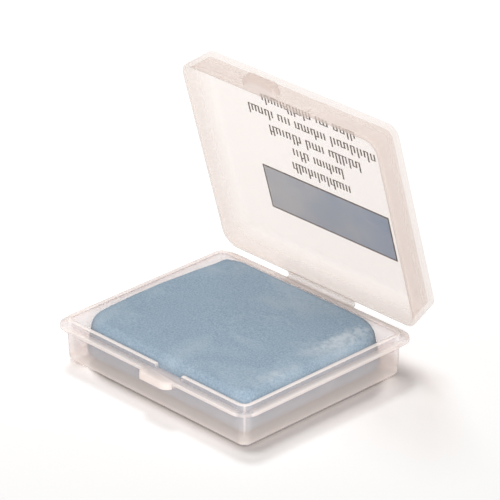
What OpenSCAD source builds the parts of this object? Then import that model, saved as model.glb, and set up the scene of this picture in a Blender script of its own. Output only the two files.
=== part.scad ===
// Kneadable putty eraser in its hinged translucent case, lid standing open.
// X runs along the hinge, Y from the latch to the hinge, Z up from the table.

/* [Case] */
// Width of the case across its rim
case_w = 48; // [44:0.5:60]
// Depth of the case from the front rim to the hinge edge
case_d = 41.1; // [38:0.5:54]
// Height of the tray from the table to the top of its flange
tray_h = 7.1; // [6:0.1:12]
// Height of the lid from its rim to its outer face
lid_h = 5.85; // [4.5:0.1:10]
// Wall thickness of the moulding
wall = 0.9; // [0.7:0.05:1]
// Corner radius of the flange and the lid rim in plan
corner_r = 3.2; // [2.8:0.1:5]
// How far each tray wall leans in between the flange and the table
tray_taper = 0.35; // [0:0.05:0.6]
// How far each lid wall leans in between the rim and the outer face
lid_taper = 0.7; // [0:0.05:0.75]
// Radius of the tray's bottom edge
tray_edge_r = 0.9; // [0.4:0.1:1.4]
// Radius of the edge round the lid's outer face
lid_edge_r = 0.6; // [0.3:0.1:1.2]
// Radius of the inside corners where walls meet the floor or the lid face
inner_edge_r = 0.4; // [0.2:0.1:0.8]

/* [Flange and tongue] */
// How far the flange stands out from the tray wall at the front and sides
flange_w = 1.2; // [1.15:0.05:1.8]
// How far the lid's rim stands out from the tray wall at the hinge when closed
flange_back = 1.3; // [1.2:0.05:2]
// How far the flange reaches past the closed lid at the hinge
hinge_lip = 0.5; // [0.2:0.05:0.6]
// Thickness of the flange
flange_t = 0.65; // [0.5:0.05:1]
// Height of the tongue that the lid slips over
tongue_h = 1.05; // [0.8:0.05:2]
// Radius on the tongue's top edges
tongue_edge_r = 0.25; // [0.1:0.05:0.35]

/* [Hinge] */
// Angle of the lid from closed, as it stands
lid_open = 74.5; // [30:0.5:120]
// Distance between the closed footprints of tray and lid when laid flat
film_l = 1.8; // [1.4:0.1:3]
// Thickness of the hinge film
film_t = 0.3; // [0.2:0.05:0.4]
// Width of the hinge film, with an open slot on either side of it
film_w = 16.4; // [10:0.2:30]
// Gap between the closed lid's rim and the flange
lid_gap = 0.1; // [0.05:0.05:0.2]

/* [Latch] */
// Width of the tray's thumb tab
tray_tab_w = 7.5; // [5:0.1:9]
// Place of the tray tab's middle across the front
tray_tab_x = 2.85; // [2:0.05:6]
// How far the tray tab stands out past the flange
tray_tab_out = 1.4; // [0.8:0.1:3]
// Thickness of the tray tab
tray_tab_t = 1.4; // [1:0.1:2]
// Radius of the tray tab's outer corner away from the lid tab
tray_tab_r = 1.9; // [0.5:0.1:2.2]
// Chamfer on the tray tab's corner beside the lid tab
tray_tab_chamfer = 0.7; // [0.2:0.1:1]
// Width of the lid's thumb tab
lid_tab_w = 7.8; // [5:0.1:9]
// Place of the lid tab's middle across the front
lid_tab_x = -4.1; // [-6:0.05:-3]
// How far the lid tab stands out from the lid's front wall
lid_tab_out = 2.5; // [1.5:0.1:4]
// Thickness of the lid tab
lid_tab_t = 1.5; // [1:0.1:2]
// Radius of the lid tab's outer corner away from the tray tab
lid_tab_r = 1.7; // [0.5:0.1:2]
// Chamfer on the lid tab's corner beside the tray tab
lid_tab_chamfer = 0.6; // [0.2:0.1:1]
// Width of the notch in the tongue above the tray tab
notch_w = 6.5; // [4:0.1:9]
// Place of the notch's middle across the front
notch_x = 4.15; // [3:0.05:6]
// Depth of the finger pocket pressed into the lid's front wall
pocket_t = 0.5; // [0.3:0.05:0.6]
// Height of the finger pocket above the rim
pocket_h = 1.45; // [1:0.05:2.5]
// Gap on each side between the pocket's inner bump and the notch
pocket_side_gap = 0.25; // [0.1:0.05:0.6]

/* [Print] */
// Width of the printed panel
panel_w = 31; // [20:0.5:36]
// Height of the printed panel
panel_d = 9.7; // [6:0.1:12]
// Distance from the hinge edge of the lid to the printed panel
panel_back = 7.8; // [6:0.1:9]
// Width of the dark line round the panel
border_w = 0.3; // [0.2:0.05:0.6]
// Height of a printed line of words
line_h = 1.7; // [1:0.1:2.2]
// Distance from one printed line to the next
line_pitch = 3.35; // [2.5:0.05:3.6]
// Distance from the panel to the middle of the first printed line
line_gap = 2.75; // [2:0.05:3.5]
// Gap between two words
word_gap = 1.3; // [0.8:0.1:2]
// Thickness of the ink
ink_t = 0.06; // [0.04:0.01:0.1]

/* [Eraser] */
// Thickness of the putty block at its middle
eraser_h = 8.6; // [5:0.1:9.5]
// Gap between the block and the front, back and right walls at the rim of the tray
eraser_gap = 0.5; // [0.4:0.05:3]
// Gap between the block and the left wall, which it doesn't reach
eraser_left_gap = 2.8; // [0.4:0.1:5]
// Corner radius of the block at the back right
eraser_back_right_r = 7.5; // [3:0.1:9]
// Corner radius of the block at the back left
eraser_back_left_r = 2.4; // [1:0.1:8]
// Corner radius of the block at the front left
eraser_front_left_r = 4.4; // [1:0.1:8]
// Corner radius of the block at the front right
eraser_front_right_r = 3.4; // [1:0.1:8]
// Radius of the block's upper edges
eraser_top_r = 1.8; // [1:0.1:2.4]
// Radius of the block's lower edges
eraser_low_r = 2.2; // [1:0.1:2.5]
// How far the middle of the block's top stands above its edges
eraser_crown = 0.35; // [0.1:0.05:0.8]

/* [Hidden] */
$fn = 48;

// Extra length that carries a cut clear through a face
cut = 1;
// Step that the points of a wall's profile lie on, so that a wall and the corner beside it meet exactly
grain = 0.001;
// Steps along a rounded edge of a profile
edge_steps = 5;
// Steps across the crowned top of the block
crown_steps = 8;
// Steps along the bend of the hinge film
film_steps = 14;

// Tray inside the flange
tray_w = case_w - 2 * flange_w;
tray_d = case_d - flange_w - flange_back;
tray_y = (flange_w - flange_back) / 2;
tray_front = -case_d / 2 + flange_w;
tray_r = corner_r - flange_w;
tray_inner_r = max(tray_r - wall, inner_edge_r);

// Hinge line, at the height of the flange's top
film_lid = film_l / 2;
film_tray = film_l / 2 - hinge_lip;
hinge_y = case_d / 2 + film_l / 2;
hinge_z = tray_h;
fold = 180 - lid_open;

// Finger pocket over the notch
pocket_w = notch_w - 2 * pocket_side_gap;

// Putty block, pushed toward the right wall
eraser_w = tray_w - 2 * wall - eraser_left_gap - eraser_gap;
eraser_d = tray_d - 2 * wall - 2 * eraser_gap;
eraser_x = (eraser_left_gap - eraser_gap) / 2;
eraser_radii = [eraser_back_right_r, eraser_back_left_r, eraser_front_left_r, eraser_front_right_r];

// Middle of the printed panel
panel_y = case_d / 2 - panel_back - panel_d / 2;

// Length of each printed line as a share of the panel's width, from the panel to the latch
line_shares = [0.455, 0.394, 0.716, 0.997, 0.732];
// Lengths of its words, in proportion
line_words = [[1], [3.8, 7.1], [7.7, 4.3, 7.6], [6, 2.9, 7.4, 10.7], [12, 2.9, 5.2]];

function sum(list, i = 0) = i < len(list) ? list[i] + sum(list, i + 1) : 0;
function first(list, n) = n > 0 ? list[n - 1] + first(list, n - 1) : 0;
function smooth(t) = t * t * (3 - 2 * t);
function fine(x) = round(x / grain) * grain;

// Points of an arc from angle a0 to a1
function arc(cx, cy, r, a0, a1, steps) =
    [for (i = [0:steps]) let (a = a0 + (a1 - a0) * i / steps) [cx + r * cos(a), cy + r * sin(a)]];

// Half of a leaning profile, open side at zero height and closed side at height h
function half_profile(half, h, taper, r) =
    let (lean = atan2(taper, h),
         slant = norm([taper, h]),
         inset = (r * slant + taper * (h - r)) / h,
         edge = arc(-inset, h - r, r, lean, 90, edge_steps))
    concat([[half, 0]], [for (p = edge) [half + fine(p.x), fine(p.y)]]);

function mirrored(points) = [for (i = [len(points) - 1:-1:0]) [-points[i].x, points[i].y]];

function full_profile(half, h, taper, r) =
    let (side = half_profile(half, h, taper, r)) concat(side, mirrored(side));

// Half of the putty block's profile, from the middle of its underside to its upper edge
function block_side(half, h) =
    concat(arc(half - eraser_low_r, eraser_low_r, eraser_low_r, -90, 0, edge_steps),
           arc(half - eraser_top_r, h - eraser_crown - eraser_top_r, eraser_top_r, 0, 90, edge_steps));

// The crowned top between the two upper edges
function block_top(half, h) =
    let (reach = half - eraser_top_r)
    [for (i = [1:crown_steps - 1])
        let (t = 1 - 2 * i / crown_steps) [reach * t, h - eraser_crown * t * t]];

function block_profile(half, h) =
    let (side = block_side(half, h)) concat(side, block_top(half, h), mirrored(side));

// Rectangle with round corners of one radius
module round_plan(w, d, r) {
    square([w, d - 2 * r], center = true);
    square([w - 2 * r, d], center = true);
    for (sx = [-1, 1], sy = [-1, 1])
        translate([sx * (w / 2 - r), sy * (d / 2 - r)])
            circle(r);
}

// Rectangle with a radius for each corner, from the back right one round to the front right one
module block_plan(w, d, radii) {
    r = radii;
    x = w / 2;
    y = d / 2;
    polygon([[x, y - r[0]], [x - r[0], y], [-x + r[1], y], [-x, y - r[1]],
             [-x, -y + r[2]], [-x + r[2], -y], [x - r[3], -y], [x, -y + r[3]]]);
    translate([x - r[0], y - r[0]])
        circle(r[0]);
    translate([-x + r[1], y - r[1]])
        circle(r[1]);
    translate([-x + r[2], -y + r[2]])
        circle(r[2]);
    translate([x - r[3], -y + r[3]])
        circle(r[3]);
}

// Lays a profile in the XZ plane and carries it along Y
module along_y(length) {
    rotate([90, 0, 0])
        translate([0, 0, -length / 2])
            linear_extrude(length)
                children();
}

// Lays a profile in the YZ plane and carries it along X
module along_x(length) {
    rotate([90, 0, 90])
        translate([0, 0, -length / 2])
            linear_extrude(length)
                children();
}

// Closed block with leaning sides, wide at zero height, rounded where it closes and at its corners
module leaning_block(w, d, h, taper, edge_r, plan_r) {
    x = w / 2 - plan_r;
    y = d / 2 - plan_r;
    corners = [[x, y], [-x, y], [-x, -y], [x, -y]];
    along_y(2 * y)
        polygon(full_profile(w / 2, h, taper, edge_r));
    along_x(2 * x)
        polygon(full_profile(d / 2, h, taper, edge_r));
    for (i = [0:3])
        translate(corners[i])
            rotate([0, 0, 90 * i])
                rotate_extrude(angle = 90)
                    polygon(concat([[0, h], [0, 0]], half_profile(plan_r, h, taper, edge_r)));
}

// Thin-walled cup, open at zero height
module cup(w, d, h, taper, edge_r, plan_r, plan_inner_r) {
    inner_h = h - wall;
    difference() {
        leaning_block(w, d, h, taper, edge_r, plan_r);
        leaning_block(w - 2 * wall, d - 2 * wall, inner_h, taper * inner_h / h, inner_edge_r, plan_inner_r);
        translate([0, 0, -cut])
            linear_extrude(cut)
                round_plan(w - 2 * wall, d - 2 * wall, plan_inner_r);
    }
}

// Outline of a thumb tab that stands out toward the front, one corner round and one cut off
module tab_plan(w, reach, r, chamfer) {
    polygon(concat([[-w / 2, 0], [-w / 2, -reach + chamfer], [-w / 2 + chamfer, -reach]],
                   arc(w / 2 - r, -reach + r, r, -90, 0, edge_steps),
                   [[w / 2, 0]]));
}

// Upright tongue round the tray's mouth
module tongue() {
    translate([0, tray_y, tray_h])
        difference() {
            union() {
                linear_extrude(tongue_h - tongue_edge_r)
                    round_plan(tray_w, tray_d, tray_r);
                linear_extrude(tongue_h)
                    round_plan(tray_w - 2 * tongue_edge_r, tray_d - 2 * tongue_edge_r, tray_r - tongue_edge_r);
            }
            translate([0, 0, -cut])
                linear_extrude(tongue_h + 2 * cut)
                    round_plan(tray_w - 2 * wall, tray_d - 2 * wall, tray_inner_r);
        }
}

// Flange that the lid's rim rests on
module flange() {
    translate([0, 0, tray_h - flange_t])
        difference() {
            translate([0, hinge_lip / 2, 0])
                linear_extrude(flange_t)
                    round_plan(case_w, case_d + hinge_lip, corner_r);
            translate([0, tray_y, -cut])
                linear_extrude(flange_t + 2 * cut)
                    round_plan(tray_w - wall, tray_d - wall, tray_r - wall / 2);
        }
}

// Tray with its flange, tongue, notch and thumb tab
module case_base() {
    tab_reach = flange_w + tray_tab_out;
    color([0.93, 0.89, 0.87, 0.55])
        difference() {
            union() {
                translate([0, tray_y, tray_h])
                    mirror([0, 0, 1])
                        cup(tray_w, tray_d, tray_h, tray_taper, tray_edge_r, tray_r, tray_inner_r);
                flange();
                tongue();
                translate([tray_tab_x, tray_front, tray_h - tray_tab_t])
                    linear_extrude(tray_tab_t)
                        tab_plan(tray_tab_w, tab_reach, tray_tab_r, tray_tab_chamfer);
            }
            translate([notch_x - notch_w / 2, tray_front - cut, tray_h])
                cube([notch_w, wall + 2 * cut, tongue_h + cut]);
        }
}

// Kneadable putty block, soft edged, lying on the tray floor
module eraser() {
    color([0.57, 0.65, 0.71])
        translate([eraser_x, tray_y, wall])
            intersection() {
                linear_extrude(eraser_h)
                    block_plan(eraser_w, eraser_d, eraser_radii);
                along_y(eraser_d)
                    polygon(block_profile(eraser_w / 2, eraser_h));
                along_x(eraser_w)
                    polygon(block_profile(eraser_d / 2, eraser_h));
            }
}

// A point of the hinge film, t along it from tray to lid and drop below the parting plane
function film_point(t, drop) =
    let (turn = fold * smooth(t), reach = t * (film_tray + film_lid) - film_tray)
    [hinge_y + reach * cos(turn) + drop * sin(turn), hinge_z + reach * sin(turn) - drop * cos(turn)];

// Thin living hinge, bent as the lid stands
module hinge_web() {
    color([0.95, 0.92, 0.9, 0.6])
        along_x(film_w)
            polygon(concat([for (i = [0:film_steps]) film_point(i / film_steps, lid_gap)],
                           [for (i = [film_steps:-1:0]) film_point(i / film_steps, lid_gap + film_t)]));
}

// Turns what is drawn as closed on the tray to where the open lid stands
module opened() {
    translate([0, hinge_y, hinge_z])
        rotate([-lid_open, 0, 0])
            translate([0, -hinge_y, lid_gap])
                children();
}

// Lid with its thumb tab and the finger pocket over the tray's tab
module case_lid() {
    bump_d = pocket_t + wall;
    front = -case_d / 2;
    color([0.93, 0.89, 0.87, 0.5])
        opened()
            difference() {
                union() {
                    cup(case_w, case_d, lid_h, lid_taper, lid_edge_r, corner_r, corner_r - wall);
                    translate([lid_tab_x, front + wall, 0])
                        linear_extrude(lid_tab_t)
                            mirror([1, 0])
                                tab_plan(lid_tab_w, lid_tab_out + wall, lid_tab_r, lid_tab_chamfer);
                    translate([notch_x - pocket_w / 2, front + wall / 2, 0])
                        cube([pocket_w, bump_d - wall / 2, pocket_h + wall / 2]);
                }
                translate([notch_x - pocket_w / 2, front - cut, -cut])
                    cube([pocket_w, pocket_t + cut, pocket_h + cut]);
            }
}

// Places ink on the lid's outer face
module on_lid_face() {
    opened()
        translate([0, 0, lid_h])
            linear_extrude(ink_t)
                children();
}

// Plain blue-grey panel
module print_blue() {
    color([0.45, 0.52, 0.58])
        on_lid_face()
            translate([0, panel_y])
                square([panel_w - 2 * border_w, panel_d - 2 * border_w], center = true);
}

// Dark line round the panel, and the printed lines as plain bars, one for each word
module print_dark() {
    color([0.24, 0.2, 0.18])
        on_lid_face() {
            translate([0, panel_y])
                difference() {
                    square([panel_w, panel_d], center = true);
                    square([panel_w - 2 * border_w, panel_d - 2 * border_w], center = true);
                }
            for (row = [0:len(line_words) - 1]) {
                words = line_words[row];
                length = line_shares[row] * panel_w;
                stretch = (length - word_gap * (len(words) - 1)) / sum(words);
                y = panel_y - panel_d / 2 - line_gap - line_pitch * row;
                for (i = [0:len(words) - 1])
                    translate([-length / 2 + stretch * first(words, i) + word_gap * i, y - line_h / 2])
                        square([stretch * words[i], line_h]);
            }
        }
}

case_base();
eraser();
hinge_web();
case_lid();
print_blue();
print_dark();
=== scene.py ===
import math
import random

import bmesh
import bpy
from mathutils import Matrix, Vector, noise


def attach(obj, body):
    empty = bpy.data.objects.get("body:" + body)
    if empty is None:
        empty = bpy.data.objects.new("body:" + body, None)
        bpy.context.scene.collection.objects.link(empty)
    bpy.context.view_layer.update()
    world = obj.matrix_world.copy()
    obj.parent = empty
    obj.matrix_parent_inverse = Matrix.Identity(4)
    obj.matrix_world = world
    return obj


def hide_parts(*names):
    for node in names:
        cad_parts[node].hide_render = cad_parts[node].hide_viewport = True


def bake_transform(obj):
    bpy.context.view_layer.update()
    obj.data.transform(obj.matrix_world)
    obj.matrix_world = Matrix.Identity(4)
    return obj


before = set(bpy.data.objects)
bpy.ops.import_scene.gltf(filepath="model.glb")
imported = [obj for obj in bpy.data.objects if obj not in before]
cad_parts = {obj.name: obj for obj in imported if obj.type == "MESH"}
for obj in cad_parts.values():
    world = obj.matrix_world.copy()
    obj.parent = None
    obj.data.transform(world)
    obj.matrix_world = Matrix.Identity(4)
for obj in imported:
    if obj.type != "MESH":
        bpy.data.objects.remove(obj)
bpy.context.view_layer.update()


# Camera
# A long lens, as in a catalogue picture: it stands at the front right of the case and looks
# down at it. Its place comes from the straight edges of the case.
MM = 0.001
IMAGE_SIDE = 500
SENSOR_MM = 36

# The fit: the lens in pixels, the angles, and where the frame's origin falls in the picture.
focal_px = 3784.1
azimuth = math.radians(45.89)
elevation = math.radians(26.58)
roll = math.radians(-0.166)
origin_px = (233.25, 366.10)
px_per_mm = 5.7445

toward_camera = Vector((math.sin(azimuth) * math.cos(elevation),
                        -math.cos(azimuth) * math.cos(elevation),
                        math.sin(elevation)))
level_right = Vector((math.cos(azimuth), math.sin(azimuth), 0))
level_up = toward_camera.cross(level_right)
camera_right = math.cos(roll) * level_right + math.sin(roll) * level_up
camera_up = toward_camera.cross(camera_right)
right_mm = (origin_px[0] - IMAGE_SIDE / 2) / px_per_mm
up_mm = (IMAGE_SIDE / 2 - origin_px[1]) / px_per_mm
distance_mm = focal_px / px_per_mm

camera_data = bpy.data.cameras.new("camera")
camera_data.sensor_width = SENSOR_MM
camera_data.lens = focal_px * SENSOR_MM / IMAGE_SIDE
camera_data.clip_start = 0.05
camera_data.clip_end = 20
camera = bpy.data.objects.new("camera", camera_data)
bpy.context.scene.collection.objects.link(camera)
place = (toward_camera * distance_mm - camera_right * right_mm - camera_up * up_mm) * MM
camera.matrix_world = Matrix.Translation(place) @ Matrix(
    (camera_right, camera_up, toward_camera)).transposed().to_4x4()
bpy.context.scene.camera = camera


# Light and floor
# A pale paper floor under a softbox and an even room. The softbox hangs high, behind and to the
# left, so that the shadow lies close to the case, in front of it and to its right.
def add_node(tree, kind, settings=None, inputs=None, links=None):
    """Adds a node, sets its settings and input values, and links its inputs from other outputs."""
    node = tree.nodes.new(kind)
    for name, value in (settings or {}).items():
        setattr(node, name, value)
    for name, value in (inputs or {}).items():
        node.inputs[name].default_value = value
    for name, output in (links or {}).items():
        tree.links.new(output, node.inputs[name])
    return node


def colour(code):
    """Linear colour from an sRGB hex value."""
    parts = [int(code[i:i + 2], 16) / 255 for i in (1, 3, 5)]
    return tuple(c / 12.92 if c <= 0.04045 else ((c + 0.055) / 1.055) ** 2.4 for c in parts) + (1,)


def new_material(name):
    """A material with an empty node tree, and its output node."""
    material = bpy.data.materials.new(name)
    material.use_nodes = True
    material.node_tree.nodes.clear()
    return material, add_node(material.node_tree, "ShaderNodeOutputMaterial")


def background_rays(tree):
    """Which rays look at the background: the camera's own, and those that go on through the
    object or off its gloss."""
    rays = add_node(tree, "ShaderNodeLightPath")
    straight = add_node(tree, "ShaderNodeMath", {"operation": "MAXIMUM"}, None,
                        {0: rays.outputs["Is Camera Ray"], 1: rays.outputs["Is Transmission Ray"]})
    looking = add_node(tree, "ShaderNodeMath", {"operation": "MAXIMUM"}, None,
                       {0: straight.outputs[0], 1: rays.outputs["Is Glossy Ray"]})
    return looking.outputs[0]


scene = bpy.context.scene
scene.view_settings.view_transform = "Standard"

# The room lights the object at a plain level, and looks white.
world = bpy.data.worlds.new("room")
scene.world = world
world.use_nodes = True
tree = world.node_tree
tree.nodes.clear()
room_level = 0.25
room_light = add_node(tree, "ShaderNodeBackground", None,
                      {"Color": colour("#FFFDFA"), "Strength": room_level})
room_white = add_node(tree, "ShaderNodeBackground", None,
                      {"Color": colour("#FFFFFD"), "Strength": 1})
room = add_node(tree, "ShaderNodeMixShader", None, None,
                {0: background_rays(tree), 1: room_light.outputs[0], 2: room_white.outputs[0]})
add_node(tree, "ShaderNodeOutputWorld", None, None, {"Surface": room.outputs[0]})


def softbox(name, at_mm, side_mm, watts):
    """A square area light that faces the case."""
    data = bpy.data.lights.new(name, "AREA")
    data.shape = "SQUARE"
    data.size = side_mm * MM
    data.energy = watts
    lamp = bpy.data.objects.new(name, data)
    scene.collection.objects.link(lamp)
    lamp.location = Vector(at_mm) * MM
    lamp.rotation_mode = "QUATERNION"
    lamp.rotation_quaternion = Vector(at_mm).to_track_quat("Z", "Y")
    return lamp


key = softbox("softbox", at_mm=(-365, 190, 735), side_mm=190, watts=4.5)
reflector = softbox("reflector", at_mm=(350, -340, 165), side_mm=200, watts=3.2)

# The satin plastic shows the room and not the lamps.
for lamp in (key, reflector):
    lamp.visible_glossy = False

floor_half_mm, floor_drop_mm = 3000, 0.02
floor_mesh = bpy.data.meshes.new("floor")
floor_mesh.from_pydata([(x * floor_half_mm * MM, y * floor_half_mm * MM, -floor_drop_mm * MM)
                        for x, y in ((-1, -1), (1, -1), (1, 1), (-1, 1))], [], [(0, 1, 2, 3)])
floor = bpy.data.objects.new("floor", floor_mesh)
scene.collection.objects.link(floor)

# The reflector beside the camera lifts the front of the case. It is flagged off the paper.
flagged = bpy.data.collections.new("flagged")
flagged.objects.link(floor)
flagged.collection_objects[0].light_linking.link_state = "EXCLUDE"
reflector.light_linking.receiver_collection = flagged

# Matt paper: its tooth is too fine to see from here, and is drawn coarse, as a slight unevenness
# of the white. The background rays see it lighter than the light on the object does.
tooth_mm = 2.5
paper_seen = 1.27
paper, paper_out = new_material("matt_white_paper")
tree = paper.node_tree
spot = add_node(tree, "ShaderNodeTexCoord")
tooth = add_node(tree, "ShaderNodeTexNoise", None,
                 {"Scale": 1 / (tooth_mm * MM), "Detail": 3}, {"Vector": spot.outputs["Object"]})
tone = add_node(tree, "ShaderNodeMix", {"data_type": "RGBA"},
                {6: colour("#F5F5F4"), 7: colour("#F8F8F7")}, {0: tooth.outputs[0]})
paper_face = add_node(tree, "ShaderNodeBsdfDiffuse", None, None, {"Color": tone.outputs[2]})
paper_white = add_node(tree, "ShaderNodeBsdfDiffuse", None,
                       {"Color": (paper_seen, paper_seen, paper_seen, 1)})
shown = add_node(tree, "ShaderNodeMixShader", None, None,
                 {0: background_rays(tree), 1: paper_face.outputs[0], 2: paper_white.outputs[0]})
tree.links.new(shown.outputs[0], paper_out.inputs["Surface"])
floor.data.materials.append(paper)


# Tray
# The lower half of the case: a thin cup of injection-moulded polypropylene with a flange round
# its mouth, a tongue that the lid slips over, and a thumb tab beside a notch in the tongue.
case_w, case_d = 48.0, 41.1
tray_h = 7.1
wall = 0.9
corner_r = 3.2
flange_w, flange_back, flange_t = 1.2, 1.3, 0.65
hinge_lip = 0.5
tray_taper = 0.35
tray_edge_r = 0.9
inner_edge_r = 0.4
tongue_h = 1.05
tongue_edge_r = 0.3
flange_edge_r = 0.16
root_r = 0.18
CORNER_STEPS = 10


def round_outline(right, back, left, front, radii, z):
    """A rectangle with a radius for each corner, from back right round to front right."""
    points = []
    for k, (x, y) in enumerate(((right, back), (left, back), (left, front), (right, front))):
        r = radii[k]
        centre = (x - math.copysign(r, x), y - math.copysign(r, y))
        for i in range(CORNER_STEPS + 1):
            turn = math.radians(90 * (k + i / CORNER_STEPS))
            points.append((centre[0] + r * math.cos(turn), centre[1] + r * math.sin(turn), z))
    return points


def arc(centre, r, start, end, steps):
    """Points of an arc in a section, as (across, height)."""
    turns = [math.radians(start + (end - start) * i / steps) for i in range(steps + 1)]
    return [(centre[0] + r * math.cos(a), centre[1] + r * math.sin(a)) for a in turns]


def loft(name, outlines):
    """A closed mesh through outlines of equal length, with a flat face at either end."""
    count = len(outlines[0])
    points = [tuple(c * MM for c in p) for outline in outlines for p in outline]
    faces = [tuple(reversed(range(count)))]
    for k in range(len(outlines) - 1):
        base = k * count
        faces += [(base + i, base + (i + 1) % count, base + count + (i + 1) % count,
                   base + count + i) for i in range(count)]
    faces.append(tuple(range((len(outlines) - 1) * count, len(outlines) * count)))
    mesh = bpy.data.meshes.new(name)
    mesh.from_pydata(points, [], faces)
    return add_object(name, mesh)


def add_object(name, mesh):
    """Puts a mesh in the scene, with close points merged and all its faces turned outward."""
    merge_mm = 0.002
    work = bmesh.new()
    work.from_mesh(mesh)
    bmesh.ops.remove_doubles(work, verts=work.verts, dist=merge_mm * MM)
    bmesh.ops.recalc_face_normals(work, faces=work.faces)
    work.to_mesh(mesh)
    work.free()
    piece = bpy.data.objects.new(name, mesh)
    scene.collection.objects.link(piece)
    return piece


def soft_block(name, outline, low, high, edge_r):
    """An upright block over a flat outline in millimetres, with its edges rounded."""
    work = bmesh.new()
    under = [work.verts.new((x * MM, y * MM, low * MM)) for x, y in outline]
    base = work.faces.new(under)
    grown = bmesh.ops.extrude_face_region(work, geom=[base])
    moved = [v for v in grown["geom"] if isinstance(v, bmesh.types.BMVert)]
    bmesh.ops.translate(work, verts=moved, vec=(0, 0, (high - low) * MM))
    bmesh.ops.recalc_face_normals(work, faces=work.faces)
    if edge_r:
        bmesh.ops.bevel(work, geom=list(work.edges), offset=edge_r * MM, segments=3,
                        profile=0.5, affect="EDGES", clamp_overlap=True)
    mesh = bpy.data.meshes.new(name)
    work.to_mesh(mesh)
    work.free()
    return add_object(name, mesh)


def join_or_cut(piece, other, operation):
    """Joins other to piece, or cuts it away, and keeps the result as piece's mesh."""
    change = piece.modifiers.new(operation.lower(), "BOOLEAN")
    change.operation = operation
    change.solver = "EXACT"
    change.object = other
    graph = bpy.context.evaluated_depsgraph_get()
    graph.update()
    made = bpy.data.meshes.new_from_object(piece.evaluated_get(graph))
    piece.modifiers.clear()
    spent = piece.data, other.data
    piece.data = made
    bpy.data.objects.remove(other)
    for mesh in spent:
        bpy.data.meshes.remove(mesh)


def rounded_shading(piece, degrees=32):
    """Smooth shading that keeps the edges sharper than the given angle."""
    piece.data.shade_smooth()
    piece.data.set_sharp_from_angle(angle=math.radians(degrees))


tray_half_w = case_w / 2 - flange_w
tray_front = -case_d / 2 + flange_w
tray_back = case_d / 2 - flange_back
tray_r = corner_r - flange_w
tray_inner_r = max(tray_r - wall, inner_edge_r)


def mould_ring(half_w, front, back, r, inset, z):
    """A ring of the moulding, drawn in by inset about the same corner centres."""
    least_r = 0.05
    return round_outline(half_w - inset, back - inset, inset - half_w, front + inset,
                         [max(r - inset, least_r)] * 4, z)


def tray_ring(inset, z):
    return mould_ring(tray_half_w, tray_front, tray_back, tray_r, inset, z)


def flange_ring(inset, z):
    return mould_ring(case_w / 2, -case_d / 2, case_d / 2 + hinge_lip, corner_r, inset, z)


def hollow_ring(inset, z):
    return mould_ring(tray_half_w - wall, tray_front + wall, tray_back - wall, tray_inner_r,
                      inset, z)


def edge_section(h, taper, r, steps):
    """Rounded outer edge of a leaning wall, as (inset from the mouth, distance from the mouth)."""
    lean = math.degrees(math.atan2(taper, h))
    centre_in = (r * math.hypot(taper, h) + taper * (h - r)) / h
    return [(centre_in - x, s) for x, s in arc((0, h - r), r, lean, 90, steps)]


flange_low = tray_h - flange_t
tongue_top = tray_h + tongue_h
hollow_h = tray_h - wall
root_mid = root_r * 0.3
side_levels = (1.25, 1.8, 3.6)
under_flange = 0.05
EDGE_STEPS, FLANGE_STEPS, TONGUE_STEPS, INNER_STEPS = 7, 3, 4, 5

# Rings from the outer edge of the floor up the side, round the flange and the tongue, and down
# the inside to the floor
tray_rings = [tray_ring(inset, tray_h - s)
              for inset, s in reversed(edge_section(tray_h, tray_taper, tray_edge_r, EDGE_STEPS))]
tray_rings += [tray_ring(tray_taper * (tray_h - z) / tray_h, z) for z in side_levels]
tray_rings += [tray_ring(under_flange, flange_low - root_r),
               tray_ring(-root_mid, flange_low - root_mid), tray_ring(-root_r, flange_low)]
tray_rings += [flange_ring(flange_edge_r, flange_low)]
tray_rings += [flange_ring(flange_edge_r - x, z) for x, z in
               arc((0, flange_low + flange_edge_r), flange_edge_r, -90, 0, FLANGE_STEPS)[1:]]
tray_rings += [flange_ring(flange_edge_r - x, z) for x, z in
               arc((0, tray_h - flange_edge_r), flange_edge_r, 0, 90, FLANGE_STEPS)]
tray_rings += [tray_ring(-root_r, tray_h), tray_ring(-root_mid, tray_h + root_mid),
               tray_ring(0, tray_h + root_r)]
tray_rings += [tray_ring(tongue_edge_r - x, z) for x, z in
               arc((0, tongue_top - tongue_edge_r), tongue_edge_r, 0, 90, TONGUE_STEPS)]
tray_rings += [tray_ring(wall - tongue_edge_r - x, z) for x, z in
               arc((0, tongue_top - tongue_edge_r), tongue_edge_r, 90, 180, TONGUE_STEPS)]
tray_rings += [hollow_ring(0, tray_h)]
tray_rings += [hollow_ring(inset, tray_h - s) for inset, s in
               edge_section(hollow_h, tray_taper * hollow_h / tray_h, inner_edge_r, INNER_STEPS)]
tray = loft("tray", tray_rings)

tray_tab_w, tray_tab_x, tray_tab_out, tray_tab_t = 7.5, 2.85, 1.4, 1.4
tray_tab_r, tray_tab_chamfer = 1.9, 0.7
tab_edge_r = 0.22
TAB_STEPS = 8


def tab_outline(w, x, root_y, reach, r, chamfer, side, into):
    """Thumb tab seen from above: one outer corner round, the other cut off. It goes into the
    wall behind it, and side is 1 or -1 for the way it faces."""
    half = w / 2
    points = [(-half, into), (-half, -reach + chamfer), (-half + chamfer, -reach)]
    points += arc((half - r, -reach + r), r, -90, 0, TAB_STEPS)
    points += [(half, into)]
    return [(x + side * px, root_y + py) for px, py in points]


tab_lift, tray_tab_into = 0.02, wall * 0.6
tray_tab = soft_block("tray_tab", tab_outline(tray_tab_w, tray_tab_x, tray_front,
                                              flange_w + tray_tab_out, tray_tab_r,
                                              tray_tab_chamfer, 1, tray_tab_into),
                      tray_h - tray_tab_t, tray_h + tab_lift, tab_edge_r)
join_or_cut(tray, tray_tab, "UNION")

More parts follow.
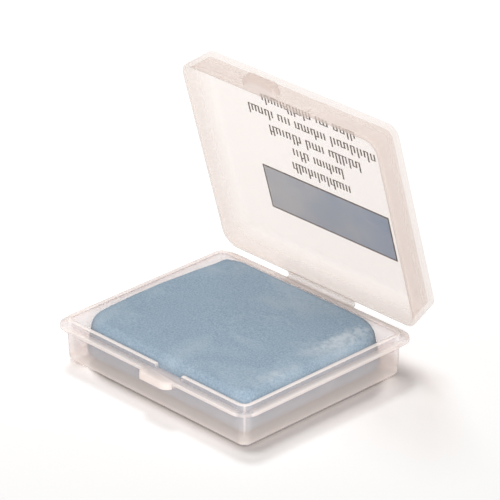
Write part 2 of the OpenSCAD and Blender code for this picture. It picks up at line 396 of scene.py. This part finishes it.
notch_w, notch_x = 6.5, 4.15
notch_over, notch_foot, notch_top = 0.5, 0.04, 0.8
notch = soft_block("notch", [(notch_x - notch_w / 2, tray_front - notch_over),
                             (notch_x + notch_w / 2, tray_front - notch_over),
                             (notch_x + notch_w / 2, tray_front + wall + notch_over),
                             (notch_x - notch_w / 2, tray_front + wall + notch_over)],
                   tray_h + notch_foot, tongue_top + notch_top, 0)
join_or_cut(tray, notch, "DIFFERENCE")
rounded_shading(tray)


def mark_thick(piece, share_at):
    """Stores how thick the plastic is at each point of a piece, from 0 for a plain wall to 1."""
    thick = piece.data.attributes.new("thick", "FLOAT", "POINT")
    for vertex in piece.data.vertices:
        thick.data[vertex.index].value = share_at(vertex.co / MM)


# How thick its parts are: the flange's rim and flat, and an upright corner, which fades out over
# some degrees of turn. The foot of the wall is thickest, up to a line where that fades out.
flange_rim_share, flange_share, corner_share, corner_fade = 0.8, 0.3, 0.6, 16
foot_top, foot_fade = 0.8, 0.4
# Distances that tell these parts from each other
slack, off_wall, under_root, past_flange = 0.1, 0.02, 0.3, 0.05


def tray_thickness(p):
    """The tray's thickness share at a point in millimetres."""
    beyond = max(abs(p.x) - tray_half_w, tray_front - p.y, p.y - tray_back)
    if beyond > flange_w - flange_edge_r - slack and p.z > flange_low - slack:
        return flange_rim_share
    if beyond > off_wall and p.z > flange_low - under_root:
        return flange_share
    on_tongue, on_tab = p.z > tongue_top - slack, p.y < -case_d / 2 - past_flange
    if on_tongue or on_tab:
        return 1
    if beyond < -tray_edge_r:
        return 0
    across = abs(p.x) - tray_half_w + tray_r
    along = max(tray_front - p.y, p.y - tray_back) + tray_r
    turn = math.degrees(math.atan2(along, across)) if min(across, along) > 0 else -45
    corner = corner_share - abs(turn - 45) / corner_fade
    foot_line = 1 - max(p.z - foot_top, 0) / foot_fade
    return max(max(1 - p.z / tray_h, 0) ** 2, foot_line, corner)


mark_thick(tray, tray_thickness)

# Polypropylene, injection moulded in a finely spark-eroded mould: milky, lets light through
# softly, with a satin face and a faint cloudiness where the melt flowed.
grain_mm, grain_depth_mm, cloud_mm = 0.22, 0.01, 9.0
scatter_mm = 2.5
full_veil = 0.7


def frosted_polypropylene(name, base, clear, shade, veil, rough):
    """Milky see-through plastic in two tones. clear tints what shows through one of its faces,
    and veil is the share that a face hides where the plastic is a plain wall. It rises to
    full_veil where it is thick. shade is the light that it lets by."""
    material, out = new_material(name)
    tree = material.node_tree
    spot = add_node(tree, "ShaderNodeTexCoord")
    cloud = add_node(tree, "ShaderNodeTexNoise", None,
                     {"Scale": 1 / (cloud_mm * MM), "Detail": 3, "Roughness": 0.55},
                     {"Vector": spot.outputs["Object"]})
    flow = add_node(tree, "ShaderNodeTexNoise", None,
                    {"Scale": 1 / (cloud_mm * 0.3 * MM), "Detail": 2, "Distortion": 0.6},
                    {"Vector": spot.outputs["Object"]})
    unevenness = add_node(tree, "ShaderNodeMath", {"operation": "MULTIPLY_ADD"}, {1: 0.35},
                          {0: flow.outputs[0], 2: cloud.outputs[0]})
    tint = add_node(tree, "ShaderNodeMix", {"data_type": "RGBA"},
                    {6: colour(base[0]), 7: colour(base[1])}, {0: unevenness.outputs[0]})
    grain = add_node(tree, "ShaderNodeTexNoise", None,
                     {"Scale": 1 / (grain_mm * MM), "Detail": 2, "Roughness": 0.6},
                     {"Vector": spot.outputs["Object"]})
    satin = add_node(tree, "ShaderNodeMapRange", None,
                     {"To Min": rough - 0.06, "To Max": rough + 0.06}, {0: cloud.outputs[0]})
    bump = add_node(tree, "ShaderNodeBump", None,
                    {"Strength": 0.12, "Distance": grain_depth_mm * MM},
                    {"Height": grain.outputs[0]})
    plastic = add_node(tree, "ShaderNodeBsdfPrincipled", None,
                       {"IOR": 1.49, "Subsurface Weight": 0.7, "Subsurface Scale": scatter_mm * MM,
                        "Subsurface Radius": (1.0, 0.9, 0.85)},
                       {"Base Color": tint.outputs[2], "Roughness": satin.outputs[0],
                        "Normal": bump.outputs[0]})
    through = add_node(tree, "ShaderNodeBsdfTransparent", None, {"Color": colour(clear)})
    thick = add_node(tree, "ShaderNodeAttribute", {"attribute_name": "thick"})
    held = add_node(tree, "ShaderNodeMapRange", None, {"To Min": veil, "To Max": full_veil},
                    {0: thick.outputs["Fac"]})
    milky = add_node(tree, "ShaderNodeMixShader", None, None,
                     {0: held.outputs[0], 1: through.outputs[0], 2: plastic.outputs[0]})
    let_by = add_node(tree, "ShaderNodeBsdfTransparent", None, {"Color": colour(shade)})
    rays = add_node(tree, "ShaderNodeLightPath")
    lit = add_node(tree, "ShaderNodeMixShader", None, None,
                   {0: rays.outputs["Is Shadow Ray"], 1: milky.outputs[0], 2: let_by.outputs[0]})
    tree.links.new(lit.outputs[0], out.inputs["Surface"])
    return material


case_plastic = frosted_polypropylene("frosted_polypropylene", base=("#F3E4DD", "#EBDBD4"),
                                     clear="#F9F8F9", shade="#E8E6E5", veil=0.16, rough=0.35)
tray.data.materials.clear()
tray.data.materials.append(case_plastic)
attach(tray, "tray")
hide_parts("case_base")


# Putty block
# Kneadable eraser putty, cut from a pressed slab and laid in the tray: a dull soft block with
# rounded edges, a little crowned, slumped at its foot. Fingers have dented it and torn one corner.
# Pale patches along its right side are partly rubbing and partly a painted highlight where light
# catches that side.
eraser_h = 8.6
eraser_gap, eraser_left_gap = 0.5, 2.8
eraser_radii = (7.5, 2.4, 4.4, 3.4)
eraser_top_r, eraser_low_r = 1.8, 2.2
eraser_crown = 0.35
eraser_right = tray_half_w - wall - eraser_gap
eraser_left = -tray_half_w + wall + eraser_left_gap
eraser_front = tray_front + wall + eraser_gap
eraser_back = tray_back - wall - eraser_gap
eraser_middle = Vector(((eraser_left + eraser_right) / 2, (eraser_front + eraser_back) / 2, 0))
corner_fill, corner_fill_top, corner_shrink, least_corner_r = 0.42, 0.8, 0.55, 0.8
SIDE_STEPS, LOW_STEPS, RISE_STEPS, TOP_STEPS, CROWN_STEPS = 40, 8, 4, 10, 30


def block_ring(inset, z):
    """A ring round the block, with points along its sides too. Its corners are fuller low down."""
    fullness = 1 - corner_fill * max(0, 1 - z / (corner_fill_top * eraser_h))
    radii = [max(r * fullness - inset * corner_shrink, least_corner_r) for r in eraser_radii]
    points = round_outline(eraser_right - inset, eraser_back - inset, eraser_left + inset,
                           eraser_front + inset, radii, z)
    filled = []
    for i, point in enumerate(points):
        here, there = Vector(point), Vector(points[(i + 1) % len(points)])
        steps = SIDE_STEPS if i % (CORNER_STEPS + 1) == CORNER_STEPS else 1
        filled += [here.lerp(there, k / steps) for k in range(steps)]
    return filled


def crown_ring(share):
    """A ring of the crowned top, a share of the way out from the middle to the rim."""
    return [eraser_middle + Vector(((p.x - eraser_middle.x) * share,
                                    (p.y - eraser_middle.y) * share,
                                    top_edge + eraser_crown * (1 - share * share)))
            for p in rim]


top_edge = eraser_h - eraser_crown
underside_insets = (7, 3.5, 1, 0)
block_rings = [block_ring(eraser_low_r + step, 0) for step in underside_insets]
block_rings += [block_ring(eraser_low_r - x, z) for x, z in
                arc((0, eraser_low_r), eraser_low_r, -90, 0, LOW_STEPS)[1:]]
side_rise = top_edge - eraser_top_r - eraser_low_r
block_rings += [block_ring(0, eraser_low_r + side_rise * k / RISE_STEPS)
                for k in range(1, RISE_STEPS)]
block_rings += [block_ring(eraser_top_r - x, z) for x, z in
                arc((0, top_edge - eraser_top_r), eraser_top_r, 0, 90, TOP_STEPS)]
rim = block_rings[-1]
block_rings += [crown_ring(1 - k / CROWN_STEPS) for k in range(1, CROWN_STEPS)]
crown_tip = 0.004
block_rings += [crown_ring(crown_tip)]
eraser = loft("putty_block", [[(p.x, p.y, p.z + wall) for p in ring] for ring in block_rings])

# Marks of the hand, in millimetres. Each pale patch, partly a rub and partly a painted highlight
# on the right side, has a strength, then its inset from the right side, its half width, and its
# place along the side from the front. The foot spreads up to spread_top, a share of the block's
# height.
rubs_and_highlights = ((1.0, 3.2, 2.0, 25.5), (0.5, 2.6, 2.2, 31.5), (0.6, 1.8, 1.5, 8.5))
rub_and_highlight_half_l = 5.5
edge_fall, edge_reach = 0.35, 5.5
swell_drop, dent_drop, fine_drop = 0.06, 0.08, 0.03
nick = Vector((eraser_left + 2.0, eraser_back - 0.4, wall + eraser_h - 0.6))
nick_r, nick_drop, nick_back = 1.7, 0.9, 0.5
bulge_out, bulge_y, bulge_half_l = 1.15, 3.5, 17
foot_spread, spread_top = 0.8, 0.7
left_reach = 15
side_pull, dent_pull, block_half = 0.05, 0.10, 20
# How often the unevenness comes, per millimetre
swells_per_mm, dents_per_mm, fines_per_mm, tears_per_mm = 0.075, 0.28, 1.1, 2.4

wear_and_highlight_at = eraser.data.attributes.new("wear_and_highlight", "FLOAT", "POINT")
for vertex in eraser.data.vertices:
    p = vertex.co / MM
    rise = max(0.0, min(1.0, (p.z - wall) / eraser_h))
    swell = 0.5 + noise.noise(p * swells_per_mm + Vector((3, 7, 1)))
    dents = 0.5 + 0.5 * noise.noise(p * dents_per_mm + Vector((5, 1, 9)))
    fine = 0.5 + 0.5 * noise.noise(p * fines_per_mm)
    edge = min(eraser_right - p.x, p.y - eraser_front)
    # Pale patches, partly rubbing and partly a painted highlight on the right side, stronger
    # higher up the block
    rub_and_highlight = sum(strength * math.exp(-((p.x - eraser_right + inset) / half_w) ** 2
                                  - ((p.y - eraser_front - along) / rub_and_highlight_half_l) ** 2)
              for strength, inset, half_w, along in rubs_and_highlights)
    wear_and_highlight_at.data[vertex.index].value = rub_and_highlight * rise
    slope = max(0.0, 1 - max(edge, 0) / edge_reach) ** 2
    drop = rise ** 2 * (swell_drop * swell + dent_drop * dents + fine_drop * fine
                        + edge_fall * slope)
    ragged = 0.6 + 0.6 * noise.noise(p * tears_per_mm)
    torn = max(0.0, 1 - (p - nick).length / nick_r) * ragged
    vertex.co.z -= max(0.0, drop + nick_drop * torn) * MM
    pull = side_pull + dent_pull * dents
    inward = (eraser_middle - Vector((p.x, p.y, 0))) / block_half
    off_bulge = (p.y - eraser_middle.y + bulge_y) / bulge_half_l
    bulge = max(0.0, 1 - off_bulge ** 2) if p.x < eraser_middle.x else 0
    leftward = max(0, min(1, (eraser_middle.x - p.x) / left_reach))
    spread = foot_spread * max(0, 1 - rise / spread_top)
    vertex.co.x += (inward.x * pull - leftward * (bulge_out * bulge + spread)) * MM
    vertex.co.y += (inward.y * pull - nick_back * torn) * MM
rounded_shading(eraser, 80)

# Eraser putty: a filled rubber that doesn't shine, with a grain of filler, paler where it has
# been folded over, and in patches on its right side that are partly rubbed and partly a painted
# highlight. The grain is drawn coarser than it is, so that it shows.
filler_mm, patch_mm, streak_mm = 0.3, 11, 1.3
putty, putty_out = new_material("kneadable_putty")
tree = putty.node_tree
spot = add_node(tree, "ShaderNodeTexCoord")
filler = add_node(tree, "ShaderNodeTexNoise", None,
                  {"Scale": 1 / (filler_mm * MM), "Detail": 3, "Roughness": 0.7},
                  {"Vector": spot.outputs["Object"]})
patches = add_node(tree, "ShaderNodeTexNoise", None,
                   {"Scale": 1 / (patch_mm * MM), "Detail": 3, "Distortion": 0.8},
                   {"Vector": spot.outputs["Object"]})
speckle = add_node(tree, "ShaderNodeMapRange", None, {"From Min": 0.36, "From Max": 0.64},
                   {0: filler.outputs[0]})
body = add_node(tree, "ShaderNodeMix", {"data_type": "RGBA"},
                {6: colour("#7A8D9D"), 7: colour("#95A5B3")}, {0: speckle.outputs[0]})
wear_and_highlight = add_node(tree, "ShaderNodeAttribute", {"attribute_name": "wear_and_highlight"})
streaks = add_node(tree, "ShaderNodeTexNoise", None,
                   {"Scale": 1 / (streak_mm * MM), "Detail": 4, "Roughness": 0.7,
                    "Distortion": 0.5},
                   {"Vector": spot.outputs["Object"]})
broken = add_node(tree, "ShaderNodeMapRange", None,
                  {"From Min": 0.4, "From Max": 0.6, "To Min": 0.15}, {0: streaks.outputs[0]})
# Painted highlight and rubbing together: the pale patches, broken up by streaks
smudge_and_highlight = add_node(tree, "ShaderNodeMath", {"operation": "MULTIPLY"}, None,
                  {0: wear_and_highlight.outputs["Fac"], 1: broken.outputs[0]})
rubbed_and_highlit = add_node(tree, "ShaderNodeMath", {"operation": "MULTIPLY_ADD"}, {1: 0.75},
                  {0: smudge_and_highlight.outputs[0], 2: patches.outputs[0]})
rubbed_and_highlit = add_node(tree, "ShaderNodeMapRange", None,
                  {"From Min": 0.5, "From Max": 1.2, "To Max": 0.85}, {0: rubbed_and_highlit.outputs[0]})
surface = add_node(tree, "ShaderNodeMix", {"data_type": "RGBA"}, {7: colour("#B6BFC6")},
                   {0: rubbed_and_highlit.outputs[0], 6: body.outputs[2]})
dull = add_node(tree, "ShaderNodeMapRange", None, {"To Min": 0.72, "To Max": 0.9},
                {0: filler.outputs[0]})
grain = add_node(tree, "ShaderNodeBump", None, {"Strength": 0.35, "Distance": 0.05 * MM},
                 {"Height": filler.outputs[0]})
skin = add_node(tree, "ShaderNodeBsdfPrincipled", None, {"Specular IOR Level": 0.3},
                {"Base Color": surface.outputs[2], "Roughness": dull.outputs[0],
                 "Normal": grain.outputs[0]})
tree.links.new(skin.outputs[0], putty_out.inputs["Surface"])
eraser.data.materials.append(putty)
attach(eraser, "tray")
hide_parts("eraser")


# Film hinge
# The living hinge: a strip of the same moulding, 0.3 mm thick, flexed when warm so that it
# bends again and again. On either side of it an open slot parts the lid from the tray.
lid_open = 74.5
film_l, film_t, film_w = 1.8, 0.3, 16.4
lid_gap = 0.1
hinge_y = case_d / 2 + film_l / 2
hinge_z = tray_h
fold = 180 - lid_open
FILM_STEPS, FILM_COLUMNS = 20, 24


def film_point(t, drop):
    """A point of the film's section: t along it from tray to lid, drop below the parting plane."""
    turn = math.radians(fold * t * t * (3 - 2 * t))
    reach = t * (film_l - hinge_lip) - (film_l / 2 - hinge_lip)
    return (hinge_y + reach * math.cos(turn) + drop * math.sin(turn),
            hinge_z + reach * math.sin(turn) - drop * math.cos(turn))


film_section = [film_point(i / FILM_STEPS, lid_gap) for i in range(FILM_STEPS + 1)]
film_section += [film_point(i / FILM_STEPS, lid_gap + film_t) for i in range(FILM_STEPS, -1, -1)]
film_rings = [[(film_w * (k / FILM_COLUMNS - 0.5), y, z) for y, z in film_section]
              for k in range(FILM_COLUMNS + 1)]
film = loft("film_hinge", film_rings)
rounded_shading(film, 50)

# Flexed polypropylene: the fold whitens it a little and draws it smooth, so that it shines more.
film_plastic = frosted_polypropylene("flexed_polypropylene", base=("#F8F3F0", "#F0E9E5"),
                                     clear="#FCF9F8", shade="#F7F5F4", veil=0.3, rough=0.3)
film_share = 0.9
film.data.materials.append(film_plastic)
mark_thick(film, lambda p: film_share)
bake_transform(film)
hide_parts("hinge_web")


# Lid
# The upper half of the case, moulded in one with the tray: a shallow cup with leaning walls, its
# own thumb tab beside the tray's, and a small pocket pressed in over the tray's tab.
lid_h = 5.85
lid_taper = 0.7
lid_edge_r = 0.6
rim_edge_r = 0.12
LID_EDGE_STEPS, RIM_STEPS = 6, 3
lid_placed = (Matrix.Translation((0, hinge_y * MM, hinge_z * MM))
              @ Matrix.Rotation(-math.radians(lid_open), 4, "X")
              @ Matrix.Translation((0, -hinge_y * MM, lid_gap * MM)))


def lid_ring(inset, z):
    return mould_ring(case_w / 2, -case_d / 2, case_d / 2, corner_r, inset, z)


def lid_hollow_ring(inset, z):
    return mould_ring(case_w / 2 - wall, -case_d / 2 + wall, case_d / 2 - wall, corner_r - wall,
                      inset, z)


lid_rings = [lid_ring(inset, s)
             for inset, s in reversed(edge_section(lid_h, lid_taper, lid_edge_r, LID_EDGE_STEPS))]
lid_rings += [lid_ring(rim_edge_r - x, z) for x, z in
              arc((0, rim_edge_r), rim_edge_r, 0, -90, RIM_STEPS)]
lid_rings += [lid_hollow_ring(-x - rim_edge_r, z) for x, z in
              arc((0, rim_edge_r), rim_edge_r, -90, -180, RIM_STEPS)]
lid_hollow_h = lid_h - wall
lid_rings += [lid_hollow_ring(inset, s) for inset, s in
              edge_section(lid_hollow_h, lid_taper * lid_hollow_h / lid_h, inner_edge_r,
                           INNER_STEPS)]
lid = loft("lid", lid_rings)

lid_tab_w, lid_tab_x, lid_tab_out, lid_tab_t = 7.8, -4.1, 2.5, 1.5
lid_tab_r, lid_tab_chamfer = 1.7, 0.6
lid_tab_into = wall * 0.7
lid_tab = soft_block("lid_tab", tab_outline(lid_tab_w, lid_tab_x, -case_d / 2, lid_tab_out,
                                            lid_tab_r, lid_tab_chamfer, -1, lid_tab_into),
                     0, lid_tab_t, tab_edge_r)
join_or_cut(lid, lid_tab, "UNION")

pocket_t, pocket_h = 0.5, 1.45
pocket_side_gap, pocket_over = 0.25, 1
bump_lift, bump_edge_r = 0.005, 0.12
pocket_w = notch_w - 2 * pocket_side_gap
pocket_left, pocket_right = notch_x - pocket_w / 2, notch_x + pocket_w / 2
bump = soft_block("pocket_bump", [(pocket_left, -case_d / 2 + wall / 2),
                                  (pocket_right, -case_d / 2 + wall / 2),
                                  (pocket_right, -case_d / 2 + pocket_t + wall),
                                  (pocket_left, -case_d / 2 + pocket_t + wall)],
                  bump_lift, pocket_h + wall / 2, bump_edge_r)
join_or_cut(lid, bump, "UNION")
pocket = soft_block("pocket", [(pocket_left, -case_d / 2 - pocket_over),
                               (pocket_right, -case_d / 2 - pocket_over),
                               (pocket_right, -case_d / 2 + pocket_t),
                               (pocket_left, -case_d / 2 + pocket_t)],
                    -pocket_over, pocket_h, 0)
join_or_cut(lid, pocket, "DIFFERENCE")

# How thick the lid's parts are, and distances that tell them from each other
lid_tab_share, lid_rim_share, lid_corner_share = 0.2, 0.3, 0.12
past_front, above_rim = 0.02, 0.05


def lid_thickness(p):
    """The lid's thickness share at a point in millimetres, with the lid as drawn closed."""
    if p.y < -case_d / 2 - past_front:
        return lid_tab_share
    if p.z < rim_edge_r + above_rim:
        return lid_rim_share
    in_corner = min(abs(p.x) - case_w / 2, abs(p.y) - case_d / 2) + corner_r
    return lid_corner_share * max(in_corner, 0) / corner_r


mark_thick(lid, lid_thickness)
lid.data.transform(lid_placed)
rounded_shading(lid)

# The same plastic as the tray's, seen against the light: clearer, and a little warmer in tone. Its
# base colour is a painted shade: much darker than the tray's, set against the stronger light on
# the lid.
lid_plastic_painted_shade = frosted_polypropylene("frosted_polypropylene_painted_shade", base=("#CABBB3", "#C2B3AA"),
                                    clear="#FDFBFA", shade="#FAF8F7", veil=0.13, rough=0.35)
lid.data.materials.clear()
lid.data.materials.append(lid_plastic_painted_shade)
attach(lid, "lid")
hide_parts("case_lid")


# Ink on the lid
# Screen print on the lid's outer face: a blue-grey panel in a thin dark line, and lines of small
# print, here plain upright strokes that say nothing.
panel_w, panel_d, panel_back, border_w = 31.0, 9.7, 7.8, 0.3
line_h, line_pitch, line_gap, word_gap = 1.7, 3.35, 2.75, 1.3
line_shares = [0.455, 0.394, 0.716, 0.997, 0.732]
line_words = [[1], [3.8, 7.1], [7.7, 4.3, 7.6], [6, 2.9, 7.4, 10.7], [12, 2.9, 5.2]]
ink_lift, ink_t = 0.012, 0.04
stroke_w, stroke_pitch, link_h = 0.32, 0.74, 0.18
small_share, tall_share = 0.85, 1.3
panel_y = case_d / 2 - panel_back - panel_d / 2


def ink_piece(name, rectangles):
    """Thin printed rectangles on the lid's outer face, each as (left, right, low, high)."""
    points, faces = [], []
    for left, right, low, high in rectangles:
        base = len(points)
        for z in (lid_h + ink_lift, lid_h + ink_lift + ink_t):
            points += [(left * MM, low * MM, z * MM), (right * MM, low * MM, z * MM),
                       (right * MM, high * MM, z * MM), (left * MM, high * MM, z * MM)]
        faces += [(base + 3, base + 2, base + 1, base), (base + 4, base + 5, base + 6, base + 7)]
        faces += [(base + i, base + (i + 1) % 4, base + 4 + (i + 1) % 4, base + 4 + i)
                  for i in range(4)]
    mesh = bpy.data.meshes.new(name)
    mesh.from_pydata(points, [], faces)
    mesh.transform(lid_placed)
    piece = bpy.data.objects.new(name, mesh)
    scene.collection.objects.link(piece)
    return piece


half_w, half_d = panel_w / 2 - border_w, panel_d / 2 - border_w
panel_ink = ink_piece("panel_ink", [(-half_w, half_w, panel_y - half_d, panel_y + half_d)])

# Each word is a row of upright strokes, some of them tall, and some joined at the foot or head.
draw = random.Random(7)
tall_odds, link_odds, foot_odds = 0.24, 0.55, 0.5
dark = [(-panel_w / 2, panel_w / 2, panel_y + half_d, panel_y + panel_d / 2),
        (-panel_w / 2, panel_w / 2, panel_y - panel_d / 2, panel_y - half_d),
        (-panel_w / 2, -half_w, panel_y - half_d, panel_y + half_d),
        (half_w, panel_w / 2, panel_y - half_d, panel_y + half_d)]
for row, words in enumerate(line_words):
    length = line_shares[row] * panel_w
    stretch = (length - word_gap * (len(words) - 1)) / sum(words)
    middle = panel_y - panel_d / 2 - line_gap - line_pitch * row
    base_line = middle - line_h / 2
    start = -length / 2
    for word in [stretch * w for w in words]:
        strokes = max(2, round(word / stroke_pitch))
        for i in range(strokes):
            left = start + (word - stroke_w) * i / (strokes - 1)
            tall = draw.random() < tall_odds
            high = base_line + line_h * (tall_share if tall else small_share)
            dark.append((left, left + stroke_w, base_line, high))
            if i < strokes - 1 and draw.random() < link_odds:
                at_foot = draw.random() < foot_odds
                level = base_line if at_foot else base_line + line_h * small_share - link_h
                dark.append((left + stroke_w, left + (word - stroke_w) / (strokes - 1),
                             level, level + link_h))
        start += word + word_gap
dark_ink = ink_piece("dark_ink", dark)


ink_rough = 0.6


def screen_ink(name, pale_tint, deep_tint, spread_mm, sheen_fade):
    """Dried solvent ink: dull, and a little uneven where the mesh laid it down. sheen_fade paints
    a
    sheen on it: paler to the left and fuller to the right."""
    material, out = new_material(name)
    tree = material.node_tree
    spot = add_node(tree, "ShaderNodeTexCoord")
    lay = add_node(tree, "ShaderNodeTexNoise", None,
                   {"Scale": 1 / (spread_mm * MM), "Detail": 4, "Roughness": 0.6},
                   {"Vector": spot.outputs["Object"]})
    along = add_node(tree, "ShaderNodeSeparateXYZ", None, None, {0: spot.outputs["Object"]})
    # A painted sheen: the ink's coat fades across the panel by sheen_fade, on top of its real
    # unevenness
    laid_and_sheen = add_node(tree, "ShaderNodeMath", {"operation": "MULTIPLY_ADD"},
                    {1: sheen_fade / (panel_w * MM)}, {0: along.outputs["X"], 2: lay.outputs[0]})
    coat_and_sheen = add_node(tree, "ShaderNodeMapRange", None,
                    {"From Min": 0.34 - 0.3 * sheen_fade, "From Max": 0.66 + 0.3 * sheen_fade},
                    {0: laid_and_sheen.outputs[0]})
    tint = add_node(tree, "ShaderNodeMix", {"data_type": "RGBA"},
                    {6: colour(pale_tint), 7: colour(deep_tint)}, {0: coat_and_sheen.outputs[0]})
    dull = add_node(tree, "ShaderNodeMapRange", None,
                    {"To Min": ink_rough - 0.08, "To Max": ink_rough + 0.08},
                    {0: lay.outputs[0]})
    ink = add_node(tree, "ShaderNodeBsdfPrincipled", None, {"Specular IOR Level": 0.35},
                   {"Base Color": tint.outputs[2], "Roughness": dull.outputs[0]})
    tree.links.new(ink.outputs[0], out.inputs["Surface"])
    return material


# The blue panel's paler left end is a painted sheen.
panel_ink.data.materials.append(
    screen_ink("blue_screen_ink", "#ABB4BB", "#7792AE", spread_mm=7.0, sheen_fade=0.6))
dark_ink.data.materials.append(
    screen_ink("dark_screen_ink", "#221B17", "#120E0C", spread_mm=0.8, sheen_fade=0))
for piece, node_name, slot_name in ((panel_ink, "print_blue", "blue_ink"),
                                    (dark_ink, "print_dark", "dark_ink")):
    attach(piece, "lid")
    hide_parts(node_name)
